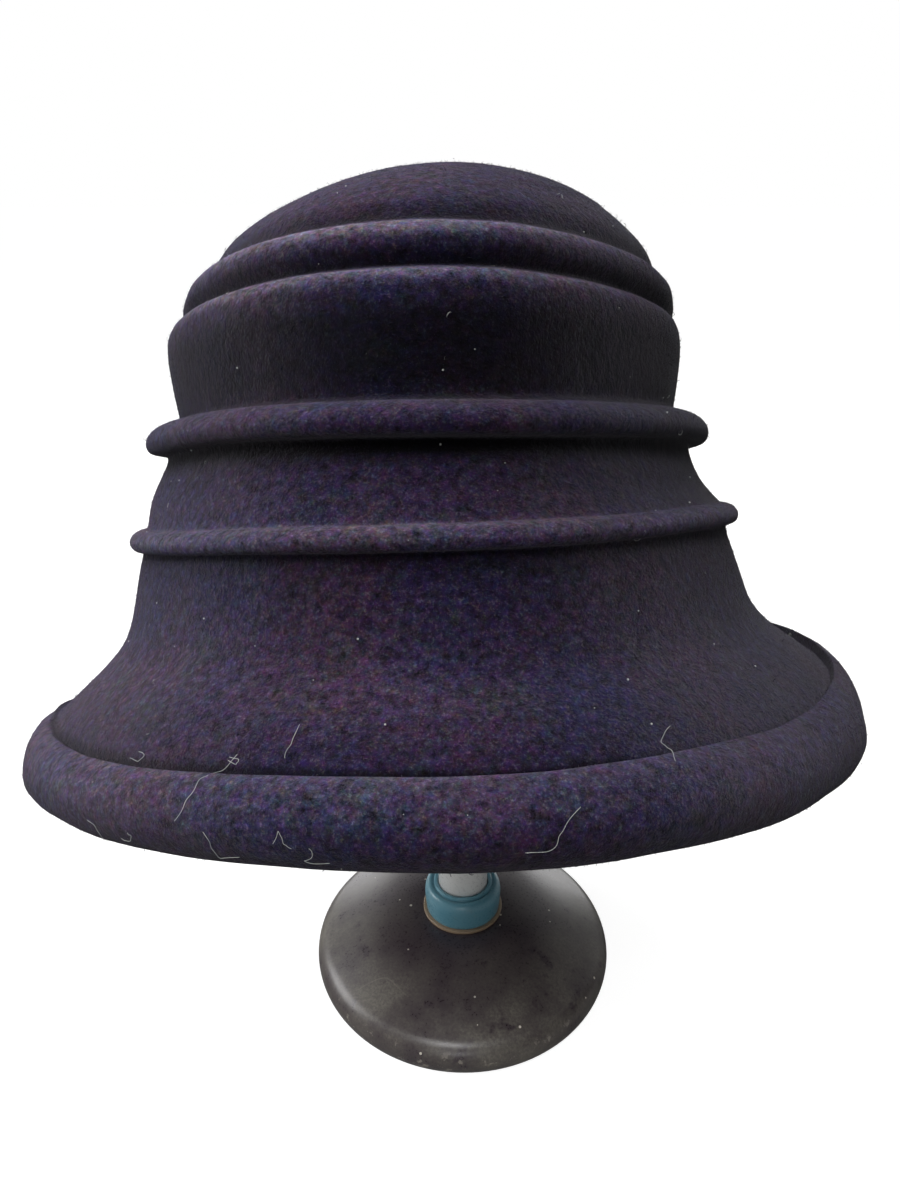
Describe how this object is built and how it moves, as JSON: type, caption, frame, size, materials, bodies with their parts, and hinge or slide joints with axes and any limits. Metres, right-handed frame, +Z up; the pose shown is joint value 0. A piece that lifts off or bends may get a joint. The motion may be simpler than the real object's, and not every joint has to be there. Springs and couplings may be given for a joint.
{
  "type": "cloche hat on a display stand",
  "caption": "Felt cloche hat with pleats, pinched tucks and a turned-up cuff, resting on a plain stand with a round domed base, a collar and a post.",
  "frame": {"origin": "centre of the stand base's flat underside", "axes": "+Z up along the stand's post; the hat's front faces -Y; +X is to the right of someone who looks at the hat's front"},
  "size_m": [0.2922, 0.2854, 0.3507],
  "materials": {
    "felt": "matt boiled wool with a soft nap",
    "base_black": "dusty satin black",
    "collar_teal": "smooth satin turquoise",
    "washer_cream": "matt cream",
    "post_white": "smooth white"
  },
  "bodies": {
    "root": {"hat": "felt", "stand_base": "base_black", "collar_ring": "washer_cream", "collar": "collar_teal", "post": "post_white", "support_cap": "post_white"}
  },
  "joints": []
}
